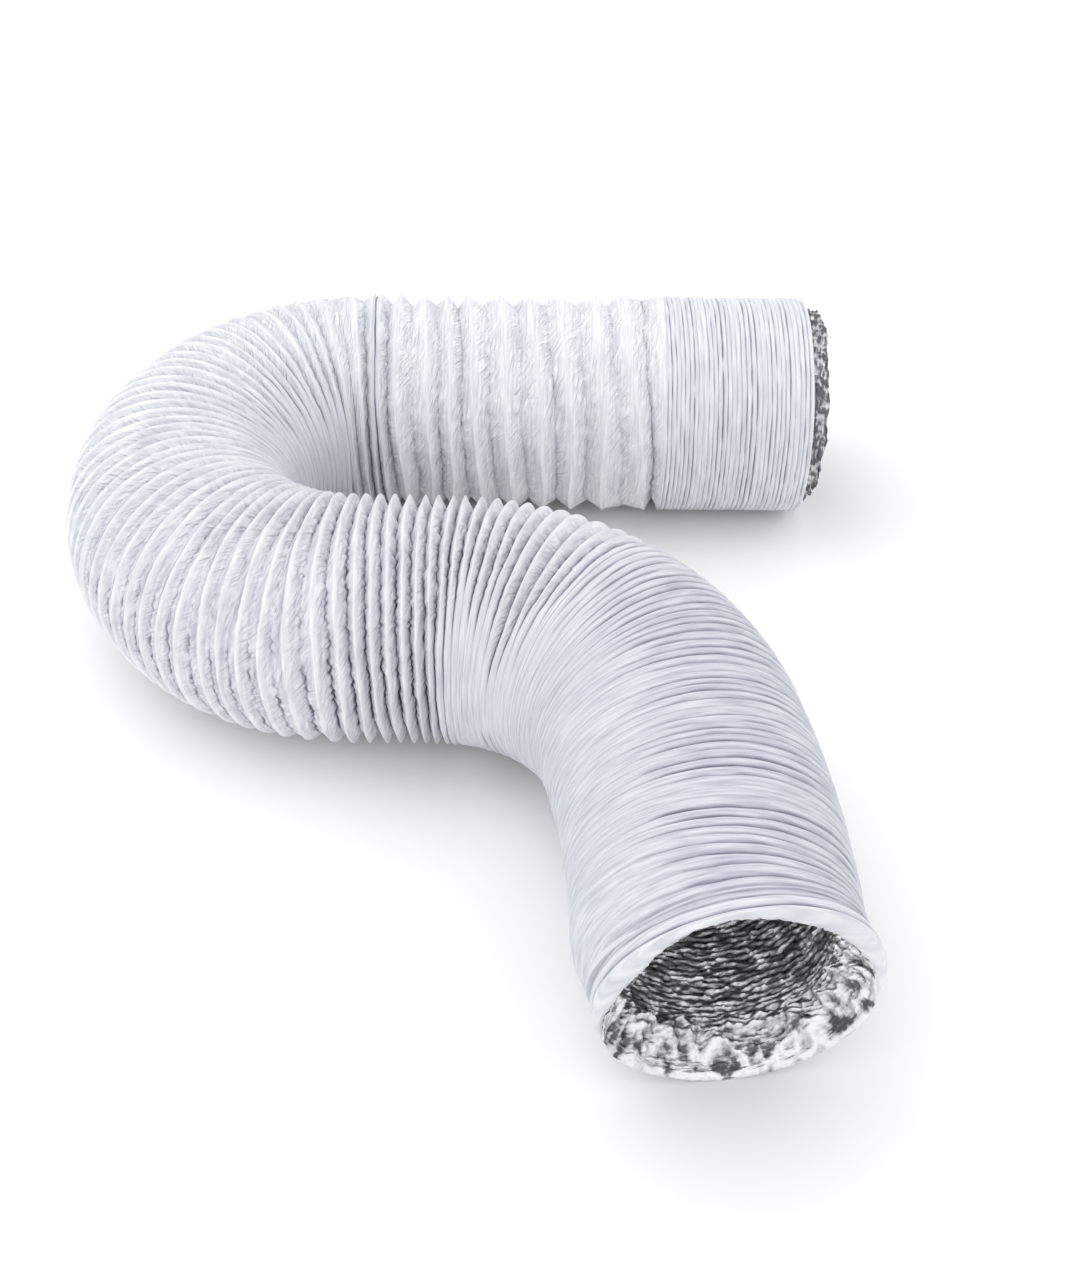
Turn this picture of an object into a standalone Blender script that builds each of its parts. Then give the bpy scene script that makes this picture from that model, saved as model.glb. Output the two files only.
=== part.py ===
"""Exhaust hose of a portable air conditioner, lying on the floor in a long hook.

A white film jacket is folded over a spring of wire, and a tube of aluminium foil lines it.
The near mouth faces -Y. From there the hose runs back, bends left, turns right round in a loop
and ends in a straight leg along +X. Its centre line is level, so it can be drawn as a flat route.

Both pieces are turned from a profile along Z and then laid along the route. All sizes are in
metres and all angles in degrees. The origin is under the middle of the hose, on the floor.
"""
import math

import bpy
from mathutils import Vector

# Section of the hose
CREST_RADIUS = 0.0775         # outside, over the folds
FILM_PER_TURN = 0.0325        # film from one crest to the next, pulled straight
FOLD_DEPTH_LIMIT = 0.0125     # how far a fold reaches in where the film has room to crumple
JACKET_WALL = 0.001           # jacket under the deepest fold
LINER_WALL = 0.001
LINER_GAP = 0.0003            # between the jacket and the liner

# Ends of the hose
LIP_WALL = 0.002              # jacket at the near mouth's edge
CUFF_LENGTH = 0.012           # straight stretch in which the near mouth narrows to the bore
TAIL_WIDENING = 0.005         # how much wider than the bore the liner is at the far mouth
TAIL_CONE = 0.015             # the bore widens to the far mouth in this length
TAIL_REACH = 0.010            # liner past the jacket at the far mouth

# Route of the centre line, from the near mouth on
MOUTH_TURN = -8.0             # the mouth itself is turned a little to the right
MOUTH_TURN_LENGTH = 0.030
NEAR_LENGTH = 0.108
NEAR_TURN = 10.5
BEND_TURN = 79.0
BEND_THROAT = 0.0618          # radius of the inside of the bend
LOOP_THROAT = 0.0422          # radius of the inside of the loop
BEND_EASE = 0.040             # length in which a bend's curvature comes in, and goes out again
MID_LENGTH = 0.0228
FAR_LENGTH = 0.290
FAR_HEADING = 0.0             # the far mouth faces +X

# Spacing of the open folds along the centre line
FOLD_PITCHES = [              # leg, distance from its end, and the spacing there
    ("bend", -0.120, 0.0070),
    ("bend", -0.102, 0.0105),
    ("bend", -0.047, 0.0070),
    ("mid", -0.010, 0.0090),
    ("mid", 0.020, 0.0115),
    ("mid", 0.045, 0.0090),
    ("loop", -0.120, 0.0096),
    ("loop", -0.070, 0.0120),
]
WIDE_FOLDS_LEAD = 0.054       # the wide folds begin this far before the end of the loop
WIDE_FOLDS = [                # spacings of the wide folds
    0.0180, 0.0140, 0.0060, 0.0115, 0.0190, 0.0155, 0.0165, 0.0230, 0.0210, 0.0205, 0.0205, 0.0255,
    0.0270,
]
FAR_CLOSED = 0.1054           # stretch at the far mouth where the turns are pushed together

# Grooves between groups of closed turns
GROOVE_DEPTH = 0.0035
GROOVE_WIDTH = 0.0050
NEAR_GROOVES = [0.032, 0.061, 0.088, 0.106, 0.143, 0.171, 0.196, 0.220, 0.242]   # from the near mouth
FAR_GROOVES = [0.084, 0.067, 0.042, 0.020]                                       # from the far mouth

# Fineness of the mesh
SIDES = 24
BEND_STEP = 0.022             # between rings in a bend
STRAIGHT_STEP = 0.110         # between rings on a straight
GUIDE_STEP = 0.005            # between points of the guide

BORE_RADIUS = CREST_RADIUS - FOLD_DEPTH_LIMIT - JACKET_WALL - LINER_GAP - LINER_WALL
AXIS_HEIGHT = CREST_RADIUS * math.cos(math.pi / SIDES)


def bend(turn, throat):
    """Sections of a bend: curvature eases in, holds and eases out."""
    radius = CREST_RADIUS + throat
    curvature = math.copysign(1.0 / radius, turn)
    held = abs(math.radians(turn)) * radius - BEND_EASE
    return [(BEND_EASE, 0.0, curvature), (held, curvature, curvature), (BEND_EASE, curvature, 0.0)]


def arc(turn, length):
    """One section that turns evenly."""
    curvature = math.radians(turn) / length
    return [(length, curvature, curvature)]


LOOP_TURN = FAR_HEADING - 90.0 - NEAR_TURN - BEND_TURN
START_HEADING = 90.0 - MOUTH_TURN
LEGS = {
    "cuff": [(CUFF_LENGTH, 0.0, 0.0)],
    "mouth": arc(MOUTH_TURN, MOUTH_TURN_LENGTH),
    "near": arc(NEAR_TURN, NEAR_LENGTH),
    "bend": bend(BEND_TURN, BEND_THROAT),
    "mid": [(MID_LENGTH, 0.0, 0.0)],
    "loop": bend(LOOP_TURN, LOOP_THROAT),
    "far": [(FAR_LENGTH, 0.0, 0.0)],
}


def leg_ends():
    """Distance along the centre line at which each leg ends."""
    ends, total = {}, 0.0
    for name, sections in LEGS.items():
        total += sum(length for length, _, _ in sections)
        ends[name] = total
    return ends


ENDS = leg_ends()
HOSE_LENGTH = ENDS["far"]
FOLD_KNOTS = [(ENDS[leg] + offset, pitch) for leg, offset, pitch in FOLD_PITCHES]
OPEN_START = FOLD_KNOTS[0][0]
WIDE_START = ENDS["loop"] - WIDE_FOLDS_LEAD
OPEN_END = HOSE_LENGTH - FAR_CLOSED


def route_points(extra):
    """Points of the centre line, with a straight stretch of the given length past the far mouth."""
    sections = [section for leg in LEGS.values() for section in leg] + [(extra, 0.0, 0.0)]
    x, y, heading = 0.0, 0.0, math.radians(START_HEADING)
    points = [Vector((x, y, AXIS_HEIGHT))]
    for length, curvature_in, curvature_out in sections:
        steps = max(1, round(length / GUIDE_STEP))
        step = length / steps
        for i in range(steps):
            share = (i + 0.5) / steps
            turn = (curvature_in + (curvature_out - curvature_in) * share) * step
            x += step * math.cos(heading + turn / 2)
            y += step * math.sin(heading + turn / 2)
            heading += turn
            points.append(Vector((x, y, AXIS_HEIGHT)))
    return points


def spread(start, end, step):
    """Distances from start to end, start left out, no further apart than step."""
    count = max(1, math.ceil((end - start) / step - 1e-9))
    return [start + (end - start) * (i + 1) / count for i in range(count)]


def between(distances, start, end):
    return [s for s in distances if start < s < end]


def ring_distances():
    """Where the smooth surfaces have their rings: close together in bends, wide apart on straights."""
    rings, at = [0.0], 0.0
    for name, end in ENDS.items():
        step = STRAIGHT_STEP if name == "far" else BEND_STEP
        rings += spread(at, end, step)
        at = end
    return rings


RINGS = ring_distances()


def fold_pitch(s):
    """Spacing of the folds at a distance along the centre line, before the wide folds."""
    for (s0, p0), (s1, p1) in zip(FOLD_KNOTS, FOLD_KNOTS[1:]):
        if s <= s1:
            return p0 + (p1 - p0) * (s - s0) / (s1 - s0)
    return FOLD_KNOTS[-1][1]


def fitted(spacings, start, end):
    """Distances from start on, start left out, at these spacings, scaled so that the last is the end."""
    fit = (end - start) / sum(spacings)
    distances = []
    for spacing in spacings:
        start += spacing * fit
        distances.append(start)
    return distances


def crest_distances():
    """Crests of the open folds: close together as far as the loop's end, then wide."""
    spacings, at = [], OPEN_START
    while at < WIDE_START:
        spacings.append(fold_pitch(at))
        at += spacings[-1]
    close = fitted(spacings, OPEN_START, WIDE_START)
    return [OPEN_START] + close + fitted(WIDE_FOLDS, WIDE_START, OPEN_END)


def fold_depth(pitch):
    """How far the film reaches in between two crests that are this far apart."""
    half_film = FILM_PER_TURN / 2
    half_pitch = min(pitch / 2, half_film)
    return min(FOLD_DEPTH_LIMIT, math.sqrt(half_film ** 2 - half_pitch ** 2))


def sleeve(start, end, grooves):
    """Outside of a closed stretch, both ends left out: plain, with a groove at each given place."""
    half = GROOVE_WIDTH / 2
    inside = [g for g in grooves if start < g - half and g + half < end]
    plain = [s for s in between(RINGS, start, end) if all(abs(s - g) > half for g in inside)]
    profile = [(s, CREST_RADIUS) for s in plain]
    for g in inside:
        profile += [(g - half, CREST_RADIUS), (g, CREST_RADIUS - GROOVE_DEPTH), (g + half, CREST_RADIUS)]
    return sorted(profile)


def jacket_outside():
    """Distance and radius of each ring outside: a sleeve where the turns are closed, folds where open."""
    crests = crest_distances()
    profile = [(0.0, CREST_RADIUS)] + sleeve(0.0, OPEN_START, NEAR_GROOVES) + [(OPEN_START, CREST_RADIUS)]
    for s0, s1 in zip(crests, crests[1:]):
        profile.append(((s0 + s1) / 2, CREST_RADIUS - fold_depth(s1 - s0)))
        profile.append((s1, CREST_RADIUS))
    far_grooves = [HOSE_LENGTH - distance for distance in FAR_GROOVES]
    return profile + sleeve(OPEN_END, HOSE_LENGTH, far_grooves) + [(HOSE_LENGTH, CREST_RADIUS)]


def bore_profile(outset, end):
    """A smooth surface that lies the given distance outside the bore, as far as the given end."""
    radius = BORE_RADIUS + outset
    mouth_radius = CREST_RADIUS - LIP_WALL - LINER_GAP - LINER_WALL + outset
    tail_radius = radius + TAIL_WIDENING
    cone_start = HOSE_LENGTH - TAIL_CONE
    middle = [(s, radius) for s in between(RINGS, CUFF_LENGTH, cone_start)]
    profile = [(0.0, mouth_radius), (CUFF_LENGTH, radius)] + middle
    profile += [(cone_start, radius), (HOSE_LENGTH, tail_radius)]
    if end > HOSE_LENGTH:
        profile.append((end, tail_radius))
    return profile


def turned(name, outside, inside, material, guide, collection, parent):
    """A closed profile turned round Z, with a flat side underneath, and laid along the guide."""
    loop = list(reversed(outside)) + inside
    half_side = math.pi / SIDES
    points = [(r * math.cos(half_side), r * math.sin(half_side), s) for s, r in loop]
    edges = [(i, (i + 1) % len(points)) for i in range(len(points))]
    mesh = bpy.data.meshes.new(name)
    mesh.from_pydata(points, edges, [])
    mesh.materials.append(material)
    piece = bpy.data.objects.new(name, mesh)
    collection.objects.link(piece)
    piece.parent = parent
    screw = piece.modifiers.new("turn", "SCREW")
    screw.axis = "Z"
    screw.angle = 2 * math.pi
    screw.steps = SIDES
    screw.render_steps = SIDES
    screw.merge_threshold = 0.00001
    screw.use_smooth_shade = True
    lay = piece.modifiers.new("lay", "CURVE")
    lay.object = guide
    lay.deform_axis = "POS_Z"
    return piece


def finish(name, colour, roughness, metallic):
    material = bpy.data.materials.new(name)
    material.use_nodes = True
    shader = material.node_tree.nodes["Principled BSDF"]
    shader.inputs["Base Color"].default_value = (*colour, 1.0)
    shader.inputs["Roughness"].default_value = roughness
    shader.inputs["Metallic"].default_value = metallic
    return material


def make_guide(collection, parent):
    """The centre line, as a level curve that both pieces follow."""
    curve = bpy.data.curves.new("route", "CURVE")
    curve.dimensions = "3D"
    curve.twist_mode = "Z_UP"
    spline = curve.splines.new("POLY")
    points = route_points(TAIL_REACH)
    spline.points.add(len(points) - 1)
    for point, place in zip(spline.points, points):
        point.co = (*place, 1.0)
    guide = bpy.data.objects.new("route", curve)
    guide.hide_render = True
    guide.display_type = "WIRE"
    guide.parent = parent
    collection.objects.link(guide)
    return guide


def centre_on_floor(parent, pieces):
    """Move the hose so that the origin is under the middle of its box."""
    depsgraph = bpy.context.evaluated_depsgraph_get()
    corners = []
    for piece in pieces:
        shape = piece.evaluated_get(depsgraph)
        corners += [shape.matrix_world @ vertex.co for vertex in shape.data.vertices]
    middle = [(min(c[i] for c in corners) + max(c[i] for c in corners)) / 2 for i in range(2)]
    floor = min(c.z for c in corners)
    parent.location = Vector((-middle[0], -middle[1], -floor))
    bpy.context.view_layer.update()


def main():
    for old in list(bpy.data.objects):
        bpy.data.objects.remove(old)
    parts = bpy.data.collections.new("exhaust_hose")
    guides = bpy.data.collections.new("guides")
    bpy.context.scene.collection.children.link(parts)
    bpy.context.scene.collection.children.link(guides)
    base = bpy.data.objects.new("base", None)
    parts.objects.link(base)

    guide = make_guide(guides, base)
    white_film = finish("white_film", (0.74, 0.75, 0.79), 0.45, 0.0)
    foil = finish("foil", (0.62, 0.62, 0.63), 0.32, 1.0)
    liner_end = HOSE_LENGTH + TAIL_REACH
    jacket_inside = bore_profile(LINER_WALL + LINER_GAP, HOSE_LENGTH)
    liner_outside = bore_profile(LINER_WALL, liner_end)
    liner_inside = bore_profile(0.0, liner_end)
    jacket = turned("jacket", jacket_outside(), jacket_inside, white_film, guide, parts, base)
    liner = turned("liner", liner_outside, liner_inside, foil, guide, parts, base)
    bpy.context.view_layer.update()
    centre_on_floor(base, [jacket, liner])


main()
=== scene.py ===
"""Looks of an air conditioner's exhaust hose: folded white film outside, crumpled foil inside.

The folds are one helix along the hose. The film's mesh winds with it: a column is a place on the
wire, and its rows go from the valley before that place, over the crest, to the valley after it.
Lengths are in metres. Angles are in radians, except where a name or comment says degrees.
"""
import math

import bpy
import numpy as np
from mathutils import Matrix, Vector


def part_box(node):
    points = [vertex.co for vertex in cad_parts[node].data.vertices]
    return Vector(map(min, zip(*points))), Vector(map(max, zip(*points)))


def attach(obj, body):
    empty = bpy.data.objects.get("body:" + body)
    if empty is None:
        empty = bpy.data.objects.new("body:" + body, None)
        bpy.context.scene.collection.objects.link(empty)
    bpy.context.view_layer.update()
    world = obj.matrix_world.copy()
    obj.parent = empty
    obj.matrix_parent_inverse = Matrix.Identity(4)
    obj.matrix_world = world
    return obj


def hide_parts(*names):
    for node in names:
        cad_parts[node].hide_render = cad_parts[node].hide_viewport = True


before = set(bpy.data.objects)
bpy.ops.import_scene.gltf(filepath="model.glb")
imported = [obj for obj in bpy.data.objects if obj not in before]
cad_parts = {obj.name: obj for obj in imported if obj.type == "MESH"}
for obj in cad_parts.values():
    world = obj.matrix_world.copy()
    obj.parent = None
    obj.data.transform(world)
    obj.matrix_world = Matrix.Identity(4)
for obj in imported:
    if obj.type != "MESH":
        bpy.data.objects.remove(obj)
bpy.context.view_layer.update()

MM = 0.001

# Section of the hose, as in the CAD part
CREST_RADIUS = 77.5 * MM
FILM_PER_TURN = 32.5 * MM
FOLD_DEPTH_LIMIT = 12.5 * MM
BORE_RADIUS = 62.7 * MM
FACETS = 24
AXIS_HEIGHT = CREST_RADIUS * math.cos(math.pi / FACETS)

# Route of the centre line, as in the CAD part. Turns are in degrees.
CUFF_LENGTH = 12 * MM
MOUTH_TURN = -8.0
MOUTH_TURN_LENGTH = 30 * MM
NEAR_LENGTH = 108 * MM
NEAR_TURN = 10.5
BEND_TURN = 79.0
BEND_THROAT = 61.8 * MM
LOOP_THROAT = 42.2 * MM
BEND_EASE = 40 * MM
MID_LENGTH = 22.8 * MM
FAR_LENGTH = 290 * MM
FAR_HEADING = 0.0
LEAD = 30 * MM                # straight stretch drawn before and after the hose
ROUTE_STEP = 1 * MM

# Spacing of the turns. Distances are along the hose and in mm.
GROOVES = [                   # place of each groove between closed turns, and how deep it is
    (12, 0.3), (19.5, 0.6), (26, 0.3), (32, 0.8), (38, 0.5), (43, 0.2), (48, 0.7), (55, 0.7),
    (61, 1.0), (68, 0.15), (75, 0.1), (81.5, 0.25), (88, 1.0), (93.5, 1.0), (99.5, 0.2), (106, 1.0),
    (110.5, 0.4), (115, 0.6), (119.5, 0.2), (124, 0.4), (130, 0.1), (136.5, 0.2), (143, 0.9),
    (147, 0.3), (151.5, 0.8), (157.5, 0.1), (164, 0.3), (171, 0.9), (175.5, 0.7), (181.5, 0.3),
    (188.5, 0.8), (194, 0.7), (198.5, 0.6), (204, 0.4), (209.5, 0.7), (215, 0.4), (221, 0.8),
    (227, 0.5), (232, 0.7), (238, 0.4), (243.5, 0.8), (249, 0.5), (255.5, 0.6), (262.1, 0.6),
]
FOLD_PITCHES = [              # leg, distance from its end, and the spacing there, as in the CAD part
    ("bend", -120, 7.0),
    ("bend", -102, 10.5),
    ("bend", -47, 7.0),
    ("mid", -10, 9.0),
    ("mid", 20, 11.5),
    ("mid", 45, 9.0),
    ("loop", -120, 9.6),
    ("loop", -70, 12.0),
]
WIDE_FOLDS_LEAD = 54          # from the first wide fold to the loop's end
WIDE_FOLDS = [18, 14, 6, 11.5, 19, 15.5, 16.5, 23, 21, 20.5, 20.5, 25.5, 27]
FAR_CLOSED = 105.4            # length of the closed turns at the far mouth
FAR_GROOVES = [84, 67, 42, 20]    # the deep grooves there, from the far mouth, as in the CAD part
END_PITCH = 3.3               # mean spacing there
LAST_PITCH = 1.4              # the last turn closes up on the one before
LEAD_TURNS = 4                # turns in the table before the first one and after the last
SEEN_TURN = 0.133             # share of a turn from the left side to where those places were seen

# Where the looks change along the hose. Each pair is where a change starts and where it is complete.
# painted shade on the closed turns near the near mouth fades out here
NEAR_SHADE_FADES = (215 * MM, 270 * MM)
FOLDS_OPEN = (252 * MM, 292 * MM)
SMOOTH_SIDE_FADES = (340 * MM, 390 * MM)
LOOP_STARTS = (400 * MM, 450 * MM)
FAR_LEG_STARTS = (640 * MM, 760 * MM)
SHALLOW_STARTS = (640 * MM, 700 * MM)
SHALLOW_FADES = (765 * MM, 800 * MM)
FAR_PATCHES_START = (950 * MM, 1003 * MM)
FAR_TONE_STARTS = (950 * MM, 1000 * MM)
FOLDS_CLOSE = (1003 * MM, 1008 * MM)
LOOP_BENDING = -0.64          # curvature in the loop times the crest radius, nearly

# Film between the turns
TOUCHING_PITCH = 4.2 * MM     # up to this spacing the turns are closed
OPEN_PITCH = 7.0 * MM         # from this spacing the folds are fully open
LEAST_PITCH = 0.5 * MM
LEAST_DEPTH = 0.25 * MM
DEEPEST_GROOVE_PITCH = 6 * MM     # closed grooves get no deeper from this spacing on
FULL_GROOVE = 3 * MM          # from this depth on a groove gets its full painted shade and the ridge beside it is fully high
BEAD_WIDTH = 0.9 * MM         # of the ridge that the wire makes
PLAIN_DARKNESS = 0.33         # of closed turns between their grooves
UNSEEN_DARKNESS = 0.3         # of the inside of the film's pieces

# Meshes
COLUMNS = 216                 # for each turn
CLOSED_ROWS = 8               # rows of faces from valley to valley
OPEN_ROWS = 12
WIDE_ROWS = 20
FIRST_TURN = -2               # the folds start under the cuff
SKIN_RADIUS = 64.4 * MM       # inside of the film's pieces
MOUTH_FOIL_STEP = 0.85 * MM
MIDDLE_FOIL_STEP = 14 * MM
TAIL_FOIL_STEP = 1.5 * MM
MOUTH_FOIL_COLUMNS = 320
MIDDLE_FOIL_COLUMNS = 64
TAIL_FOIL_COLUMNS = 216
FILM_SHARP_ANGLE = math.radians(75)
FOIL_SHARP_ANGLE = math.radians(80)


def arc(turn, length):
    curvature = math.radians(turn) / length
    return [(length, curvature, curvature)]


def bend(turn, throat):
    """Curvature eases in, holds and eases out."""
    radius = CREST_RADIUS + throat
    curvature = math.copysign(1.0 / radius, turn)
    held = abs(math.radians(turn)) * radius - BEND_EASE
    return [(BEND_EASE, 0.0, curvature), (held, curvature, curvature), (BEND_EASE, curvature, 0.0)]


LOOP_TURN = FAR_HEADING - 90.0 - NEAR_TURN - BEND_TURN
START_HEADING = 90.0 - MOUTH_TURN
LEGS = {
    "cuff": [(CUFF_LENGTH, 0.0, 0.0)],
    "mouth": arc(MOUTH_TURN, MOUTH_TURN_LENGTH),
    "near": arc(NEAR_TURN, NEAR_LENGTH),
    "bend": bend(BEND_TURN, BEND_THROAT),
    "mid": [(MID_LENGTH, 0.0, 0.0)],
    "loop": bend(LOOP_TURN, LOOP_THROAT),
    "far": [(FAR_LENGTH, 0.0, 0.0)],
}


def leg_ends():
    ends, total = {}, 0.0
    for name, sections in LEGS.items():
        total += sum(length for length, _, _ in sections)
        ends[name] = total
    return ends


ENDS = leg_ends()
HOSE_LENGTH = ENDS["far"]


def trace_route():
    """Distance, x, y, heading and curvature along the centre line, placed by the CAD jacket."""
    straight = [(LEAD, 0.0, 0.0)]
    sections = straight + [section for leg in LEGS.values() for section in leg] + straight
    s, x, y, heading = -LEAD, 0.0, 0.0, math.radians(START_HEADING)
    rows = [(s, x, y, heading, 0.0)]
    for length, curvature_in, curvature_out in sections:
        steps = max(1, round(length / ROUTE_STEP))
        step = length / steps
        for i in range(steps):
            curvature = curvature_in + (curvature_out - curvature_in) * (i + 0.5) / steps
            turn = curvature * step
            x += step * math.cos(heading + turn / 2)
            y += step * math.sin(heading + turn / 2)
            heading += turn
            s += step
            rows.append((s, x, y, heading, curvature))
    route = np.array(rows).T
    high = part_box("jacket")[1]
    route[1] += high[0] - np.interp(HOSE_LENGTH, route[0], route[1])
    route[2] += high[1] - AXIS_HEIGHT - np.interp(HOSE_LENGTH, route[0], route[2])
    return route


ROUTE = trace_route()


def place(s, radius, theta):
    """Points round the centre line. Theta is 0 on the left of the way along and grows over the top."""
    x, y, heading = (np.interp(s, ROUTE[0], ROUTE[i]) for i in (1, 2, 3))
    side = radius * np.cos(theta)
    up = np.maximum(AXIS_HEIGHT + radius * np.sin(theta), 0.0)
    return np.stack([x - side * np.sin(heading), y + side * np.cos(heading), up], axis=-1)


def curvature_at(s):
    return np.interp(s, ROUTE[0], ROUTE[4])


def ramp(low, high, value):
    """0 below low, 1 above high and smooth between them."""
    share = np.clip((value - low) / (high - low), 0.0, 1.0)
    return share * share * (3.0 - 2.0 * share)


NOISE_GAIN = 1.6              # brings the noise up to about -1 to 1


def gradient_noise(x, y, z, seed):
    """Smooth noise of about -1 to 1 with one bump for each unit."""
    rng = np.random.default_rng(seed)
    table = rng.permutation(256)
    slopes = rng.normal(size=(256, 3))
    slopes /= np.linalg.norm(slopes, axis=1)[:, None]
    x, y, z = np.broadcast_arrays(x, y, z)
    cell = [np.floor(c).astype(int) for c in (x, y, z)]
    inside = [c - i for c, i in zip((x, y, z), cell)]
    ease = [f * f * f * (f * (f * 6 - 15) + 10) for f in inside]
    total = np.zeros(x.shape)
    for i in (0, 1):
        for j in (0, 1):
            for k in (0, 1):
                key = table[(cell[0] + i) & 255]
                key = table[(key + cell[1] + j) & 255]
                slope = slopes[table[(key + cell[2] + k) & 255]]
                dot = sum(slope[..., n] * (inside[n] - (i, j, k)[n]) for n in range(3))
                weight = 1.0
                for n, corner in enumerate((i, j, k)):
                    weight = weight * (ease[n] if corner else 1.0 - ease[n])
                total += dot * weight
    return total * NOISE_GAIN


def round_noise(s, theta, along, around, seed):
    """Noise on the hose's skin, with bumps of the given lengths along it and around it."""
    wide = CREST_RADIUS / around
    return gradient_noise(s / along, wide * np.cos(theta), wide * np.sin(theta), seed)


def crease_noise(s, theta, along, around, seed, octaves=3):
    """Noise of 0 to 1 with sharp creases at its high places, as crumpled film has."""
    total, share, size = 0.0, 0.0, 1.0
    for octave in range(octaves):
        layer = round_noise(s, theta, along * size, around * size, seed + octave)
        total = total + size * (1.0 - np.minimum(1.0, np.abs(layer) * 2.0))
        share += size
        size *= 0.5
    return total / share


def fitted(spacings, length):
    """The same spacings scaled to fill the length."""
    return np.array(spacings) * length / sum(spacings)


def turn_table():
    """Where each turn's wire passes SEEN_TURN, how deep the groove after it is, and the counts of turns.

    The counts run up to the end of the closed turns, the close folds, the wide folds and the far closed end.
    """
    rng = np.random.default_rng(11)
    grooves = [place_mm for place_mm, _ in GROOVES]
    near = [(a + b) / 2 for a, b in zip(grooves, grooves[1:])]
    knots = [(ENDS[leg] / MM + offset, pitch) for leg, offset, pitch in FOLD_PITCHES]
    start, wide_start = knots[0][0], ENDS["loop"] / MM - WIDE_FOLDS_LEAD
    close, at = [], start
    while at < wide_start:
        close.append(float(np.interp(at, *zip(*knots))))
        at += close[-1]
    wide_end = HOSE_LENGTH / MM - FAR_CLOSED
    end_count = round((FAR_CLOSED - LAST_PITCH) / END_PITCH)
    close_folds = fitted(close, wide_start - start)
    wide_folds = fitted(WIDE_FOLDS, wide_end - wide_start)
    end = fitted(rng.uniform(0.8, 1.25, end_count), FAR_CLOSED - LAST_PITCH)
    after_near = start + np.cumsum(np.concatenate([close_folds, wide_folds, end]))
    crests = np.concatenate([near, [start], after_near])
    lead_in = LAST_PITCH * np.arange(LEAD_TURNS, 0, -1)
    crests = np.concatenate([crests[0] - lead_in, crests, crests[-1] + lead_in[::-1]])

    end_grooves = wide_end + np.cumsum(end) - end / 2
    end_strengths = rng.uniform(0.25, 0.9, end_count)
    for deep in FAR_GROOVES:
        end_strengths[np.abs(end_grooves - (HOSE_LENGTH / MM - deep)).argmin()] = 1.2
    near_strengths = [strength for _, strength in GROOVES[1:-1]]
    open_strengths = [0.6] * (len(close) + len(WIDE_FOLDS) + 1)
    strengths = [0.3] * LEAD_TURNS + near_strengths + open_strengths + list(end_strengths)
    strengths += [0.5] * (len(crests) - len(strengths))
    counts = np.cumsum([len(near), len(close), len(WIDE_FOLDS), end_count])
    return crests * MM, np.array(strengths), [int(count) for count in counts]


CRESTS, STRENGTHS, (NEAR_END, CLOSE_END, WIDE_END, LAST_TURN) = turn_table()


def crest(t):
    """Distance along the hose of the wire after t turns, smooth and always growing."""
    knot = np.clip(t - SEEN_TURN + LEAD_TURNS, 0.0, len(CRESTS) - 1.001)
    index = knot.astype(int)
    f = knot - index
    gaps = np.diff(CRESTS)
    gaps = np.concatenate([gaps[:1], gaps, gaps[-1:]])
    slopes = 2.0 * gaps[:-1] * gaps[1:] / (gaps[:-1] + gaps[1:])
    here, there = CRESTS[index], CRESTS[np.minimum(index + 1, len(CRESTS) - 1)]
    low, high = slopes[index], slopes[np.minimum(index + 1, len(CRESTS) - 1)]
    blend = f * f * (3.0 - 2.0 * f)
    return here + (there - here) * blend + f * (1.0 - f) * ((1.0 - f) * low - f * high)


def wire(t):
    """Distance along the hose of the wire, with the small wander that a real one has."""
    theta = 2.0 * math.pi * t
    s = crest(t)
    pitch = crest(t + 0.5) - crest(t - 0.5)
    drift = round_noise(s, theta, 25 * MM, 60 * MM, 21) * 0.16
    free = ramp(6.5 * MM, 8.5 * MM, pitch)
    own = gradient_noise(t * 2.2, 0.0, 5.0, 22) * (0.12 + 0.22 * free)
    return s + pitch * (drift + own)


def loop_share(s):
    """How nearly the hose bends as in the loop, from 0 in the legs to 1."""
    return np.clip(curvature_at(s) * CREST_RADIUS / LOOP_BENDING, 0.0, 1.0) * ramp(*LOOP_STARTS, s)


def hub_side(s, theta):
    """1 on the loop's inner side, where the turns are pressed into a smooth hub, and 0 elsewhere."""
    return loop_share(s) * ramp(0.25, 0.85, -np.cos(theta))


def outer_side(s, theta):
    """1 on the loop's outer side, where the film is pulled nearly smooth, and 0 on its inner side."""
    return loop_share(s) * ramp(-0.5, 0.75, np.cos(theta))


def groove_strength(t, s, theta):
    """How deep the closed turns' groove is half a turn after the wire at t turns, from 0 to 1.2.

    The bend's inner side and the loop's hub are smooth.
    """
    listed = np.interp(t - SEEN_TURN + LEAD_TURNS, np.arange(len(STRENGTHS)), STRENGTHS)
    far = ramp(*FAR_PATCHES_START, s)
    near_patches = 0.5 * round_noise(s, theta, 5 * MM, 40 * MM, 34)
    far_patches = 1.1 * round_noise(s, theta, 4 * MM, 13 * MM, 35)
    patchy = 1.0 + near_patches + (far_patches - near_patches) * far
    near = 1.0 - ramp(*SMOOTH_SIDE_FADES, s)
    smooth_side = 0.92 * near * ramp(0.0, 0.7, np.cos(theta))
    strength = listed ** 1.3 * patchy * (1.0 - smooth_side) * (1.0 - 0.85 * hub_side(s, theta))
    return np.clip(strength, 0.0, 1.2)


def open_share(s, theta, pitch):
    """How far the folds are open, from 0 where the turns touch to 1, and their spacing on that side."""
    squeezed = pitch * (1.0 - curvature_at(s) * CREST_RADIUS * np.cos(theta))
    stretch = ramp(*FOLDS_OPEN, s) * (1.0 - ramp(*FOLDS_CLOSE, s))
    return stretch * ramp(TOUCHING_PITCH, OPEN_PITCH, squeezed), squeezed


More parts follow.
